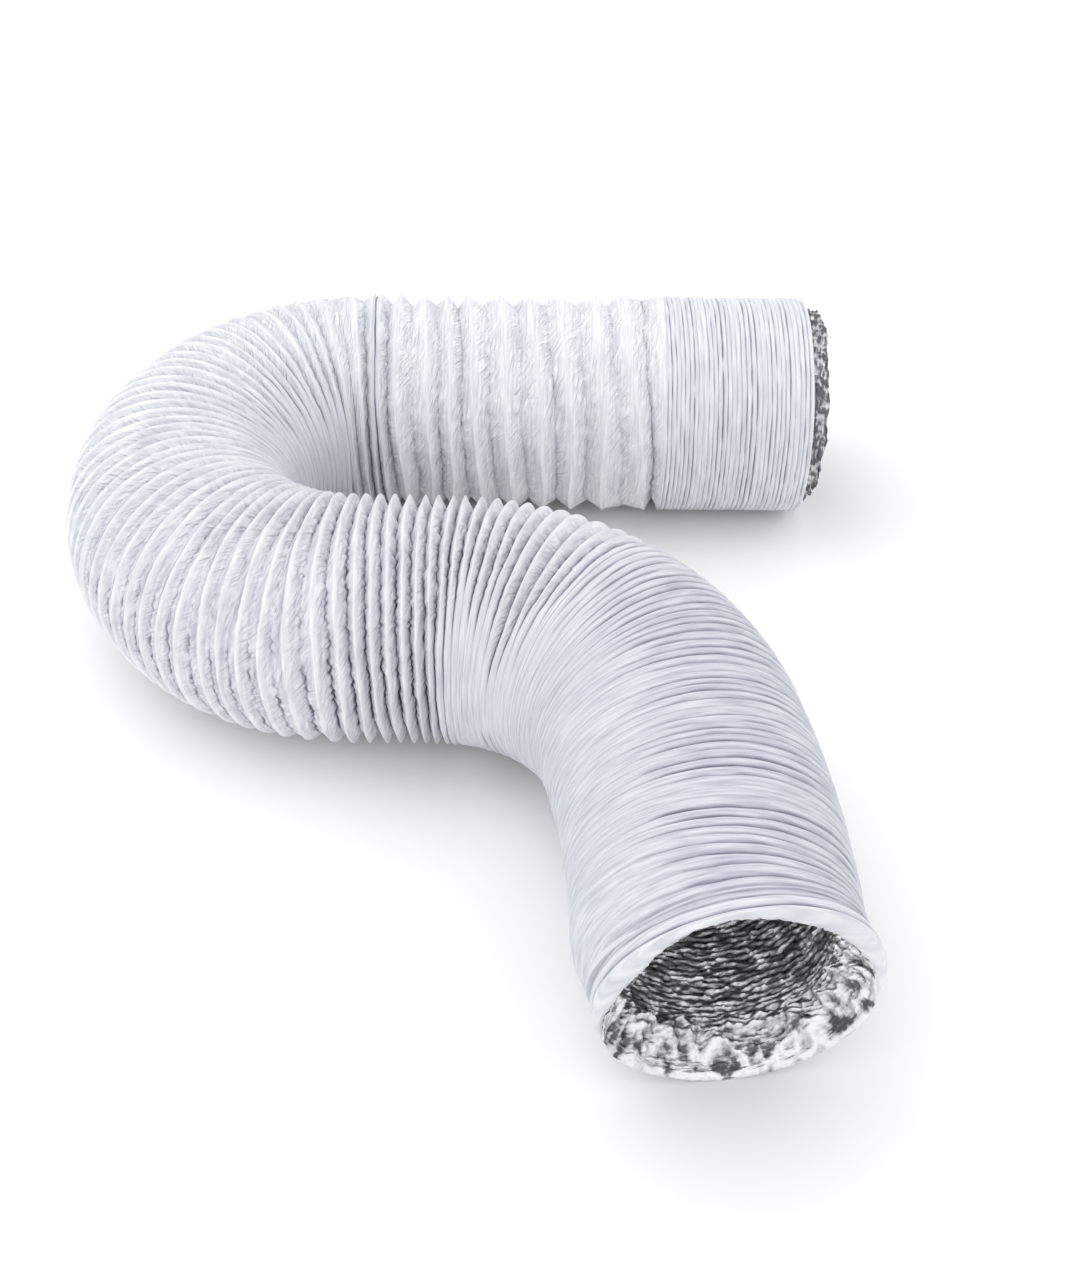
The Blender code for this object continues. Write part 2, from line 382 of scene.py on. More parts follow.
def valley(t):
    """Distance, depth and openness of the film's valley half a turn after the wire at t turns."""
    theta = 2.0 * math.pi * t
    before, after = wire(t), wire(t + 1.0)
    pitch = np.maximum(after - before, LEAST_PITCH)
    middle = (before + after) / 2
    share, squeezed = open_share(middle, theta, pitch)
    wide = ramp(12 * MM, 17 * MM, pitch)
    half_film = FILM_PER_TURN / 2
    hanging = np.sqrt(np.maximum(half_film ** 2 - (squeezed / 2) ** 2, 0.0))
    hanging = np.minimum(hanging, FOLD_DEPTH_LIMIT) * (1.0 - 0.2 * wide)
    hanging = hanging * (1.0 - 0.78 * outer_side(middle, theta))
    shallow = ramp(*SHALLOW_STARTS, middle) * (1.0 - ramp(*SHALLOW_FADES, middle))
    uneven = round_noise(middle, theta, 9 * MM, 9 * MM, 31)
    hanging = hanging * (0.84 + 0.13 * uneven) * (1.0 - 0.4 * shallow)
    groove = 0.75 * np.minimum(squeezed, DEEPEST_GROOVE_PITCH) * groove_strength(t, middle, theta)
    closed = groove + LEAST_DEPTH
    depth = closed + (hanging - closed) * share
    jag = crease_noise(middle, theta, 30 * MM, 5 * MM, 33, 2) - 0.5
    sway = round_noise(middle, theta, 8 * MM, 14 * MM, 36)
    shift = share * ((2.2 - wide) * MM * jag + 0.05 * pitch * sway)
    shift = shift + (1.0 - share) * 0.10 * pitch * sway
    shift = np.clip(shift, -0.3 * pitch, 0.3 * pitch)
    return middle + shift, np.maximum(depth, LEAST_DEPTH), share


MOUTH_SET_LENGTH = 42 * MM


def mouth_set(s, theta):
    """How far the near mouth is moved from a plain end, along the hose and outwards. Its left is drawn in."""
    fade = 1.0 - ramp(0.0, MOUTH_SET_LENGTH, s)
    sine, cosine = np.sin(theta), np.cos(theta)
    twice_sine, twice_cosine = np.sin(2.0 * theta), np.cos(2.0 * theta)
    along = 1.6 - 7.2 * sine + 0.9 * cosine - 0.6 * twice_sine + 1.2 * twice_cosine
    outwards = -0.9 - 5.2 * cosine - 2.5 * twice_cosine - 2.8 * np.clip(-sine, 0.0, 1.0) ** 3
    return along * MM * fade, outwards * MM * fade


def outer_radius(s, theta):
    """Radius over the folds, a little uneven, slimmer towards the near mouth and tucked in under the cuff."""
    uneven = 0.5 * MM * round_noise(s, theta, 50 * MM, 90 * MM, 41)
    tuck = 4.6 * MM * (1.0 - ramp(11.5 * MM, 16.5 * MM, s))
    slim = 1.3 * MM * (1.0 - ramp(60 * MM, 200 * MM, s))
    return CREST_RADIUS - 0.4 * MM + uneven - tuck - slim


def skin_radius(s):
    """Radius of the inside of the film's pieces, wider behind the near mouth's funnel."""
    return SKIN_RADIUS + 6.0 * MM * (1.0 - ramp(14 * MM, 30 * MM, s))


def shade_share(s, theta):
    """How much painted shade the open valleys get: most low down, less on the far leg and on the loop's outer
    side.
    """
    low = 1.0 - ramp(-0.1, 0.75, np.sin(theta))
    patch = 0.6 * round_noise(s, theta, 8 * MM, 6 * MM, 58)
    share = (0.38 + 0.58 * low + patch) * (1.0 - 0.75 * ramp(*FAR_LEG_STARTS, s))
    return np.clip(share - 0.45 * outer_side(s, theta), 0.03, 1.0)


def film_fall(off, share):
    """How far the film has fallen from the crest, 0, to the valley, 1. Closed turns fall late."""
    slope = (np.sqrt(off ** 2 + 0.002) - 0.045) / 0.956
    open_fall = 0.92 * slope + 0.08 * off ** 3
    closed_fall = 0.2 * off ** 2 + 0.8 * off ** 7
    return closed_fall + (open_fall - closed_fall) * share


def closed_darkness(s, theta, off, depth):
    """Darkness of closed turns: plain film, painted shade near the near mouth that is half as strong on the
    left, and painted shade in the grooves.
    """
    near = 1.0 - ramp(*NEAR_SHADE_FADES, s)
    # Painted shade near the near mouth, weaker on the left flank.
    near_shade = 0.12 * near * (1.0 - 0.5 * ramp(0.0, 0.75, np.cos(theta)))
    far_end = ramp(*FAR_TONE_STARTS, s)
    # Painted shade in the grooves between closed turns.
    groove = off ** 6 * np.minimum(depth / FULL_GROOVE, 1.0) * (0.55 - 0.38 * far_end)
    return PLAIN_DARKNESS + near_shade - 0.1 * far_end + groove


def open_darkness(s, theta, off, ahead, wide, outer):
    """Darkness of open folds: pale panels, a ridge painted lighter than them as a painted highlight, and
    valleys with painted shade.

    On the loop's outer side a strip of painted shade runs beside the wire, ahead of it.
    """
    painted_shade_strip = np.exp(-((off - 0.34) / 0.16) ** 2) * (0.5 + round_noise(s, theta, 9 * MM, 26 * MM, 59))
    far_leg = ramp(*FAR_LEG_STARTS, s)
    beyond_ridge = ramp(0.05, 0.25, off)
    # The ridge is painted lighter than the panels beside it, a painted highlight; on the far leg it is
    # painted darker instead, to even out the shade between the folds.
    panel = 0.01 + 0.10 * far_leg + 0.04 * outer + (0.08 + 0.11 * outer - 0.13 * far_leg) * beyond_ridge
    # Painted shade in a strip beside the wire on the loop's outer side.
    panel = panel + 0.34 * outer * np.maximum(painted_shade_strip, 0.0) * ahead
    # Painted shade in the valleys.
    return panel + off ** (9.0 + 5.0 * wide) * shade_share(s, theta)


def film(t, w):
    """Distance and radius of the film at t turns, its darkness with painted shade, and how loose it is.

    W is -1 and 1 in the valleys and 0 on the wire.
    """
    theta = 2.0 * math.pi * t
    top = wire(t)
    low, low_depth, low_share = valley(t - 1.0)
    high, high_depth, high_share = valley(t)
    ahead = w > 0
    foot = np.where(ahead, high, low)
    depth = np.where(ahead, high_depth, low_depth)
    share = np.where(ahead, high_share, low_share)
    outer = outer_side(top, theta)
    off = np.abs(w)
    run = foot - top
    length = np.abs(run) * (1.0 - curvature_at(top) * CREST_RADIUS * np.cos(theta))
    wide = ramp(5 * MM, 8.5 * MM, length)

    bead_height = (0.15 + 0.3 * np.minimum(depth / FULL_GROOVE, 1.0) + 0.35 * share + 0.35 * outer) * MM
    bead = bead_height * np.exp(-(off * length / BEAD_WIDTH) ** 2)
    s = top + run * off
    hang = off * (1.0 - off ** 6)
    crumple = crease_noise(s, theta, 10 * MM, 11 * MM, 51) - 0.5
    pleat = round_noise(s, theta, 14 * MM, 5 * MM, 55)
    ripple = share * hang * ((1.5 + 0.9 * wide) * MM * crumple + 0.6 * MM * pleat) * (1.0 - 0.45 * outer)
    sway = share * hang * length * 0.08 * round_noise(s, theta, 10 * MM, 9 * MM, 53)
    s = s + sway
    along, outwards = mouth_set(s, theta)
    radius = outer_radius(top, theta) - depth * film_fall(off, share) + bead + ripple + outwards

    closed = closed_darkness(s, theta, off, depth)
    opened = open_darkness(s, theta, off, ahead, wide, outer)
    loose = share * np.minimum(2.2 * off, 1.0)
    return s + along, radius, closed + (opened - closed) * share, loose


def join_mesh(name, points, faces, skin):
    """An object from points and faces. Skin is each corner's place on the unrolled film or foil."""
    mesh = bpy.data.meshes.new(name)
    mesh.from_pydata([tuple(p) for p in points], [], faces)
    mesh.polygons.foreach_set("use_smooth", [True] * len(mesh.polygons))
    layer = mesh.uv_layers.new(name="skin")
    corners = np.zeros((len(mesh.loops), 2), dtype=np.float32)
    corners[:len(skin)] = skin
    layer.uv.foreach_set("vector", corners.ravel())
    piece = bpy.data.objects.new(name, mesh)
    bpy.context.scene.collection.objects.link(piece)
    return piece


def set_share(piece, name, values):
    """Gives each point a number that the materials read."""
    attribute = piece.data.attributes.new(name, "FLOAT", "POINT")
    attribute.data.foreach_set("value", np.asarray(values, dtype=np.float32))


def skin_corners(around, along):
    """Corners of a grid of faces on the unrolled surface, from the grid points' places in metres."""
    grid = np.stack([around, along], axis=-1)
    corners = np.stack([grid[:-1, :-1], grid[:-1, 1:], grid[1:, 1:], grid[1:, :-1]], axis=2)
    return corners.reshape(-1, 2)


def row_places(rows):
    """Row places across one turn, closer together near the wire and near the valleys."""
    even = np.linspace(-1.0, 1.0, rows + 1)
    return even - 0.07 * np.sin(2.0 * math.pi * np.abs(even)) * np.sign(even) * (1.0 - np.abs(even) * 2.0)


def wind(name, first, last, rows):
    """A closed piece of folded film from the turn first to the turn last, with a plain skin inside it.

    Its ends follow the helix, each with a step of one turn's width, and the next piece fits them.
    """
    start, stop = first * COLUMNS, last * COLUMNS
    t_valley = np.arange(start, stop + COLUMNS + 1) / COLUMNS
    t = np.arange(start, stop + 1) / COLUMNS
    theta = 2.0 * math.pi * t
    edge_s, edge_radius, edge_dark, edge_loose = film(t_valley, np.full(len(t_valley), -1.0))
    edge_theta = 2.0 * math.pi * t_valley
    points = [place(edge_s, edge_radius, edge_theta), place(edge_s, skin_radius(edge_s), edge_theta)]
    dark = [edge_dark, np.full(len(t_valley), UNSEEN_DARKNESS)]
    loose = [edge_loose, np.zeros(len(t_valley))]
    along = [edge_s[:len(t)]]
    for w in row_places(rows)[1:-1]:
        row_s, row_radius, row_dark, row_loose = film(t, np.full(len(t), w))
        points.append(place(row_s, row_radius, theta))
        dark.append(row_dark)
        loose.append(row_loose)
        along.append(row_s)
    along.append(edge_s[COLUMNS:])
    around = np.tile((theta - theta[0]) * CREST_RADIUS, (rows + 1, 1))
    skin, wide = len(t_valley), stop - start

    def corner(column, row):
        """A turn's last row is the next turn's first one."""
        if row == 0:
            return column
        if row == rows:
            return column + COLUMNS
        return 2 * skin + (row - 1) * len(t) + column

    faces = []
    for row in range(rows):
        near, far = corner(0, row), corner(0, row + 1)
        faces += [(near + i, near + i + 1, far + i + 1, far + i) for i in range(wide)]
    faces += [(skin + i + COLUMNS, skin + i + 1 + COLUMNS, skin + i + 1, skin + i) for i in range(wide)]
    faces += [(skin + i, skin + i + 1, i + 1, i) for i in range(COLUMNS)]
    faces += [(i, i + 1, skin + i + 1, skin + i) for i in range(wide, wide + COLUMNS)]
    first_edge = [corner(0, row) for row in range(rows + 1)]
    faces.append(tuple(first_edge + [skin + COLUMNS, skin]))
    last_edge = [corner(wide, row) for row in range(rows + 1)]
    faces.append(tuple(reversed(last_edge + [skin + wide + COLUMNS, skin + wide])))
    piece = join_mesh(name, np.concatenate(points), faces, skin_corners(around, np.array(along)))
    piece.data.set_sharp_from_angle(angle=FILM_SHARP_ANGLE)
    set_share(piece, "dark", np.concatenate(dark))
    set_share(piece, "loose", np.concatenate(loose))
    return piece


def lathe(name, rings, columns=COLUMNS * 2):
    """A closed piece from rings round the hose. Each turns theta into distance, radius and darkness."""
    theta = 2.0 * math.pi * np.arange(columns + 1) / columns
    points, dark, along = [], [], []
    for ring in rings:
        s, radius, darkness = (value + np.zeros(columns + 1) for value in ring(theta))
        points.append(place(s, radius, theta)[:-1])
        dark.append(darkness[:-1])
        along.append(s)
    faces = []
    for j in range(len(rings)):
        here, there = j * columns, (j + 1) % len(rings) * columns
        for i in range(columns):
            after = (i + 1) % columns
            faces.append((here + i, here + after, there + after, there + i))
    around = np.tile(theta * CREST_RADIUS, (len(rings) + 1, 1))
    piece = join_mesh(name, np.concatenate(points), faces, skin_corners(around, np.array(along + along[:1])))
    set_share(piece, "dark", np.concatenate(dark))
    return piece


# Near mouth

FRONT_WIDTHS = [              # degrees from the left over the top, and width of the film's flat front there
    (-35, 0.0), (-12, 4.0), (0, 8.5), (20, 11.0), (35, 12.5), (50, 9.0), (70, 4.0), (85, 4.0),
    (100, 7.5), (118, 10.5), (140, 11.0), (160, 8.5), (178, 3.5), (192, 0.0),
]


def front_width(theta):
    """Width of the film's flat front round the mouth, with a ragged edge. The bottom has almost none."""
    degrees = (np.degrees(theta) + 90.0) % 360.0 - 90.0
    width = np.interp(degrees, *zip(*FRONT_WIDTHS)) * MM
    ragged = gradient_noise(theta * 16.0, 0.0, 3.0, 63) + 0.6 * gradient_noise(theta * 38.0, 0.0, 7.0, 64)
    ragged_share = np.minimum(width / (4 * MM), 1.0)
    return np.maximum(width + 0.9 * MM * ragged * ragged_share, 0.2 * MM)


CUFF_OUTLINE = [              # mm from the hose's end, mm over the folds, share of the front, and darkness, with painted shade in the two grooves, on the tucked-in back edge and on the front where it turns in
    (14.0, -4.2, 0.0, 0.42), (12.0, -3.4, 0.0, 0.42), (10.2, -2.2, 0.0, 0.48), (9.2, -2.6, 0.0, 0.75),
    (8.4, -1.3, 0.0, 0.42), (7.4, -0.5, 0.0, 0.33), (5.6, -0.2, 0.0, 0.31), (4.1, -0.3, 0.0, 0.34),
    (3.4, -0.8, 0.0, 0.5), (2.9, -1.7, 0.0, 0.9), (2.4, -0.8, 0.0, 0.5), (1.7, -0.1, 0.0, 0.3),
    (0.7, 0.0, 0.0, 0.27), (-0.2, -0.4, 0.0, 0.26), (-0.7, -1.1, 0.1, 0.26), (-0.6, -1.5, 0.3, 0.27),
    (-0.1, -1.5, 0.65, 0.27), (0.7, -1.5, 1.0, 0.28), (1.3, -1.6, 1.04, 0.4), (2.4, -2.0, 0.95, 0.5),
    (5.0, -3.0, 0.7, 0.5), (9.0, -4.0, 0.4, 0.4), (12.0, -5.5, 0.15, 0.4), (15.0, -6.0, 0.0, 0.4),
]


def make_cuff():
    """The near mouth's edge: a groove, a band, a groove, a rolled lip and a flat front that turns in, its
    grooves and turned-in parts darkened as painted shade.
    """
    def ring(s, height, share, darkness):
        def shape(theta):
            along, outwards = mouth_set(s * MM, theta)
            uneven = 0.3 * MM * round_noise(20 * MM, theta, 20 * MM, 25 * MM, 61)
            radius = CREST_RADIUS + height * MM + outwards + uneven - share * front_width(theta)
            return s * MM + along + uneven, radius, darkness
        return shape

    return lathe("jacket_cuff", [ring(*point) for point in CUFF_OUTLINE])


# Foil
FOIL_WALL = 0.5 * MM
FOIL_BACK = 63.9 * MM         # radius of the foil's plain outside, never seen
PLAIN_BACK_START = 34 * MM
RIPPLE_PITCH = 3.9 * MM
MOUTH_FOIL_END = 190 * MM
FUNNEL_LENGTH = 24 * MM
SWELL_LENGTH = 30 * MM
TAIL_FOIL_START = 1050 * MM
TAIL_REACH = 9.5 * MM         # how far it is drawn beyond the film at the far mouth


def foil_surface(s, theta):
    """Radius of the foil's inside face, and its darkness: painted shade in the ripples' troughs and in the
    creases.
    """
    bits = round_noise(s, theta, 7 * MM, 11 * MM, 71)
    wander = 0.6 * round_noise(s, theta, 16 * MM, 15 * MM, 72)
    wander = wander + 0.35 * round_noise(s, theta, 5 * MM, 6 * MM, 76)
    phase = s / RIPPLE_PITCH + theta / (2.0 * math.pi) + wander
    saw = np.abs((phase % 1.0) * 2.0 - 1.0) * 2.0 - 1.0
    depth = 0.25 + 0.9 * ramp(-0.6, 0.5, bits)
    crumple = crease_noise(s, theta, 6 * MM, 8 * MM, 73) - 0.5
    weave = round_noise(s, theta, 1.7 * MM, 7 * MM, 75)
    radius = BORE_RADIUS - 1.8 * MM + 1.0 * MM * depth * saw - 1.6 * MM * crumple + 0.4 * MM * weave
    return radius, 0.46 + 0.24 * depth * saw - 0.4 * crumple + 0.3 * weave


def mouth_foil(along, theta):
    """Distance, radius and darkness of the foil in the near mouth: a crumpled funnel, then rippled bore, with
    painted shade in the creases, pleats and folds.
    """
    low = ramp(-0.1, 0.5, -np.sin(theta))
    ends = round_noise(0.0, theta, 10 * MM, 11 * MM, 86)
    teeth = round_noise(0.0, theta, 10 * MM, 4 * MM, 87)
    start = (0.8 - 5.0 * low + 0.6 * ends + 0.4 * teeth) * MM
    s = along + start * (1.0 - ramp(0.0, SWELL_LENGTH, along))
    back, outwards = mouth_set(s, theta)

    funnel = 1.0 - ramp(0.0, FUNNEL_LENGTH, along)
    edge = CREST_RADIUS - 1.8 * MM - front_width(theta) + (1.6 + 0.3 * ends) * MM * low
    inner, inner_dark = foil_surface(along, theta)
    radius = inner + (edge - inner) * funnel ** 1.2 + outwards

    crumple = crease_noise(along, theta, 11 * MM, 13 * MM, 81) - 0.5
    fold = round_noise(along, theta, 10 * MM, 12 * MM, 84)
    lump = round_noise(along, theta, 20 * MM, 17 * MM, 90)
    pleat = crease_noise(along, theta, 16 * MM, 4.5 * MM, 88, 2) - 0.5
    pleats = (2.8 - 2.2 * low) * pleat
    swell = np.sin(math.pi * np.clip(along / SWELL_LENGTH, 0.0, 1.0)) ** 0.6
    radius = radius - swell * MM * (1.5 + 6.5 * crumple + 1.5 * fold + pleats + 6.5 * lump * low)
    limit = CREST_RADIUS + outwards - 2.2 * MM - 0.34 * np.minimum(along, 18 * MM)
    radius = np.where(along > 1.2 * MM, np.minimum(radius, limit), radius)

    # Painted shade in the creases, pleats and folds, softened on the darkest of them near the lip's edge.
    dark = 0.48 - 2.3 * crumple - 0.9 * pleats - 0.3 * fold
    dark = dark - 0.35 * (1.0 - ramp(1 * MM, 5 * MM, along)) * ramp(0.3, 0.6, dark)
    dark = dark + (inner_dark - dark) * (1.0 - funnel)
    return s + back + swell * MM * (2.6 * fold + 0.5 * pleats), radius, dark


def tail_foil(s, theta):
    """Distance, radius and darkness of the foil at the far mouth, where it stands out of the film, ragged,
    with painted shade in its creases.
    """
    out = ramp(HOSE_LENGTH - 14 * MM, HOSE_LENGTH + 2 * MM, s)
    reach = 0.55 + 0.45 * ramp(-0.9, 0.3, np.sin(theta))
    ragged = round_noise(0.0, theta, 10 * MM, 12 * MM, 91)
    ragged = ragged + 0.5 * round_noise(0.0, theta, 10 * MM, 5 * MM, 92)
    beyond = np.maximum(s - HOSE_LENGTH, 0.0)
    crumple = crease_noise(s, theta, 6 * MM, 8 * MM, 93) - 0.5
    dent = round_noise(s, theta, 7 * MM, 9 * MM, 97)
    radius, dark = foil_surface(s, theta)
    radius = radius + out * MM * (6.0 - 4.5 * crumple - 1.6 * dent)
    # Painted shade in the creases where the foil stands out of the film, which is also darker overall there.
    dark = dark + out * (0.25 - 1.0 * crumple)
    return s - beyond * (1.0 - reach) + beyond * 0.18 * ragged, radius, dark


def make_foil(name, shape, distances, columns, plain_after=math.inf):
    """A closed tube of foil. Beyond plain_after its outside is plain, with fewer rings than its inside."""
    def inside(s):
        return lambda theta: shape(s + np.zeros(len(theta)), theta)

    def outside(s):
        def surface(theta):
            at, radius, dark = inside(s)(theta)
            plain = FOIL_BACK if s > plain_after else 0.0
            return at, np.maximum(radius + FOIL_WALL, plain), dark
        return surface

    fine = [s for s in distances if s <= plain_after]
    coarse = [s for s in distances if s > plain_after]
    backs = fine + coarse[3::8] + coarse[-1:]      # every eighth ring will do where it is plain
    piece = lathe(name, [outside(s) for s in backs] + [inside(s) for s in reversed(distances)], columns)
    piece.data.set_sharp_from_angle(angle=FOIL_SHARP_ANGLE)
    return piece


def plain_foil(s, theta):
    return s, *foil_surface(s, theta)


# Materials
FILM_TONES = [                # colour of the film by its darkness, painted shade included, from lit slopes to the deepest valleys
    (0.0, (0.93, 0.935, 0.96)),
    (0.2, (0.775, 0.785, 0.82)),
    (0.4, (0.63, 0.645, 0.70)),
    (0.7, (0.36, 0.375, 0.44)),
    (1.0, (0.12, 0.13, 0.17)),
]
FOIL_TONES = [                # colour of the foil by its darkness, painted shade included
    (0.1, (0.90, 0.90, 0.91)),
    (0.5, (0.64, 0.64, 0.65)),
    (0.85, (0.15, 0.15, 0.16)),
]


def new_material(name, colour, roughness, metallic):
    """A material. Its colour and roughness hold until nodes are linked to them."""
    material = bpy.data.materials.new(name)
    material.use_nodes = True
    tree = material.node_tree
    shader = tree.nodes["Principled BSDF"]
    shader.inputs["Base Color"].default_value = (*colour, 1.0)
    shader.inputs["Roughness"].default_value = roughness
    shader.inputs["Metallic"].default_value = metallic
    return material, tree, shader


def add_noise(tree, scale, detail, rough=0.5):
    place_node = tree.nodes.new("ShaderNodeTexCoord")
    node = tree.nodes.new("ShaderNodeTexNoise")
    node.inputs["Scale"].default_value = scale
    node.inputs["Detail"].default_value = detail
    node.inputs["Roughness"].default_value = rough
    tree.links.new(place_node.outputs["Object"], node.inputs["Vector"])
    return node.outputs["Fac"]


def add_streaks(tree, degrees, length, width, detail=2.0):
    """Noise on the unrolled skin whose bumps have this length and width. At 0 degrees they run round."""
    place_node = tree.nodes.new("ShaderNodeTexCoord")
    mapping = tree.nodes.new("ShaderNodeMapping")
    mapping.vector_type = "POINT"
    mapping.inputs["Rotation"].default_value = (0.0, 0.0, math.radians(degrees))
    stretch = tree.nodes.new("ShaderNodeVectorMath")
    stretch.operation = "MULTIPLY"
    stretch.inputs[1].default_value = (1.0 / length, 1.0 / width, 1.0)
    node = tree.nodes.new("ShaderNodeTexNoise")
    node.noise_dimensions = "2D"
    node.inputs["Scale"].default_value = 1.0
    node.inputs["Detail"].default_value = detail
    tree.links.new(place_node.outputs["UV"], mapping.inputs["Vector"])
    tree.links.new(mapping.outputs["Vector"], stretch.inputs[0])
    tree.links.new(stretch.outputs["Vector"], node.inputs["Vector"])
    return node.outputs["Fac"]


def feed(tree, socket, value):
    """Links a node's output to the socket, or sets a number on it."""
    if isinstance(value, bpy.types.NodeSocket):
        tree.links.new(value, socket)
    else:
        socket.default_value = value


def add_math(tree, operation, *values):
    node = tree.nodes.new("ShaderNodeMath")
    node.operation = operation
    for value, socket in zip(values, node.inputs):
        feed(tree, socket, value)
    return node.outputs[0]


def scaled_from(tree, value, middle, amount):
    """How far the value is from the middle, times the amount."""
    return add_math(tree, "MULTIPLY", add_math(tree, "SUBTRACT", value, middle), amount)


def add_attribute(tree, name):
    node = tree.nodes.new("ShaderNodeAttribute")
    node.attribute_name = name
    return node.outputs["Fac"]


def add_ramp(tree, source, stops):
    node = tree.nodes.new("ShaderNodeValToRGB")
    while len(node.color_ramp.elements) < len(stops):
        node.color_ramp.elements.new(0.5)
    for element, (position, colour) in zip(node.color_ramp.elements, stops):
        element.position = position
        element.color = (*colour, 1.0) if isinstance(colour, tuple) else (colour, colour, colour, 1.0)
    tree.links.new(source, node.inputs["Fac"])
    return node.outputs["Color"]


MIX_FACTOR, MIX_FIRST, MIX_SECOND = 0, 6, 7    # inputs of the Mix node for colours
MIX_RESULT = 2


def mix_colour(tree, share, first, second, mode="MIX"):
    node = tree.nodes.new("ShaderNodeMix")
    node.data_type = "RGBA"
    node.blend_type = mode
    feed(tree, node.inputs[MIX_FACTOR], share)
    feed(tree, node.inputs[MIX_FIRST], first)
    feed(tree, node.inputs[MIX_SECOND], second)
    return node.outputs[MIX_RESULT]


def add_bump(tree, shader, height, strength, distance):
    node = tree.nodes.new("ShaderNodeBump")
    node.inputs["Strength"].default_value = strength
    node.inputs["Distance"].default_value = distance
    tree.links.new(height, node.inputs["Height"])
    tree.links.new(node.outputs["Normal"], shader.inputs["Normal"])


def white_film_material():
    """Satin film with fine bands round the hose, and slanting creases where it hangs loose. Its colour
    carries the points' painted shade, and painted shade in the creases.
    """
    material, tree, shader = new_material("white_film", (0.73, 0.74, 0.78), 0.42, 0.0)
    patches = add_ramp(tree, add_noise(tree, 38.0, 1.0), [(0.44, 0.0), (0.56, 1.0)])
    rising = add_streaks(tree, 32.0, 20 * MM, 4.0 * MM)
    falling = add_streaks(tree, 12.0, 22 * MM, 3.6 * MM)
    slanting = mix_colour(tree, patches, rising, falling)
    from_middle = add_math(tree, "ABSOLUTE", add_math(tree, "SUBTRACT", slanting, 0.5))
    crease = add_math(tree, "MINIMUM", add_math(tree, "MULTIPLY", from_middle, 5.0), 1.0)
    loose = add_attribute(tree, "loose")
    bands = add_streaks(tree, 0.0, 26 * MM, 1.5 * MM)

    # Painted shade in the slanting creases where the film hangs loose.
    crease_shade = add_math(tree, "MULTIPLY", add_math(tree, "SUBTRACT", 1.0, crease), loose)
    darkness = add_math(tree, "ADD", add_attribute(tree, "dark"), add_math(tree, "MULTIPLY", crease_shade, 0.15))
    darkness = add_math(tree, "ADD", darkness, scaled_from(tree, bands, 0.5, 0.6))
    cloud = add_ramp(tree, add_noise(tree, 14.0, 3.0), [(0.3, 0.95), (0.7, 1.0)])
    colour = mix_colour(tree, 1.0, add_ramp(tree, darkness, FILM_TONES), cloud, "MULTIPLY")
    tree.links.new(colour, shader.inputs["Base Color"])
    rough = add_ramp(tree, add_noise(tree, 60.0, 3.0), [(0.3, 0.38), (0.7, 0.52)])
    tree.links.new(rough, shader.inputs["Roughness"])

    crumple = add_math(tree, "MULTIPLY", crease, loose)
    height = add_math(tree, "ADD", crumple, add_math(tree, "MULTIPLY", bands, 0.35))
    add_bump(tree, shader, height, 0.8, 1.25 * MM)
    return material


def foil_material():
    """Bright foil with fine crinkles that run round the hose. Its colour carries the points' painted shade.
    """
    material, tree, shader = new_material("foil", (0.62, 0.62, 0.63), 0.24, 1.0)
    specks = scaled_from(tree, add_noise(tree, 380.0, 3.0), 0.5, 0.6)
    weave = add_streaks(tree, 3.0, 9 * MM, 1.5 * MM, 3.0)
    lines = add_math(tree, "SUBTRACT", weave, 0.5)
    darkness = add_math(tree, "ADD", add_math(tree, "ADD", add_attribute(tree, "dark"), specks), lines)
    tree.links.new(add_ramp(tree, darkness, FOIL_TONES), shader.inputs["Base Color"])
    rough = add_ramp(tree, add_noise(tree, 150.0, 3.0), [(0.3, 0.26), (0.7, 0.40)])
    tree.links.new(rough, shader.inputs["Roughness"])
    height = add_math(tree, "ADD", add_noise(tree, 300.0, 4.0, 0.6), weave)
    add_bump(tree, shader, height, 0.5, 1.2 * MM)
    return material


def floor_material():
    material, _, shader = new_material("floor", (0.97, 0.97, 0.97), 0.8, 0.0)
    shader.inputs["Specular IOR Level"].default_value = 0.1
    return material


def spread_distances(start, stop, step):
    count = max(1, round((stop - start) / step))
    return [start + (stop - start) * i / count for i in range(count + 1)]


def dress(piece, material, node):
    piece.data.materials.append(material)
    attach(piece, "root")
    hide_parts(node)


def make_hose():
    film_material = white_film_material()
    foil = foil_material()
    near_split = NEAR_END // 2
    close_split = NEAR_END + (CLOSE_END - NEAR_END) // 2
    pieces = [
        make_cuff(),
        wind("jacket_near_leg", FIRST_TURN, near_split, CLOSED_ROWS),
        wind("jacket_bend", near_split, NEAR_END, CLOSED_ROWS),
        wind("jacket_mid_leg", NEAR_END, close_split, OPEN_ROWS),
        wind("jacket_loop", close_split, CLOSE_END, OPEN_ROWS),
        wind("jacket_far_leg", CLOSE_END, WIDE_END, WIDE_ROWS),
        wind("jacket_far_end", WIDE_END, LAST_TURN, CLOSED_ROWS),
    ]
    for piece in pieces:
        dress(piece, film_material, "jacket")
    mouth_rings = spread_distances(0.0, MOUTH_FOIL_END, MOUTH_FOIL_STEP)
    middle_rings = spread_distances(MOUTH_FOIL_END, TAIL_FOIL_START, MIDDLE_FOIL_STEP)
    tail_rings = spread_distances(TAIL_FOIL_START, HOSE_LENGTH + TAIL_REACH, TAIL_FOIL_STEP)
    liners = [
        make_foil("liner_mouth", mouth_foil, mouth_rings, MOUTH_FOIL_COLUMNS, PLAIN_BACK_START),
        make_foil("liner_middle", plain_foil, middle_rings, MIDDLE_FOIL_COLUMNS),
        make_foil("liner_tail", tail_foil, tail_rings, TAIL_FOIL_COLUMNS),
    ]
    for piece in liners:
        dress(piece, foil, "liner")


# Studio

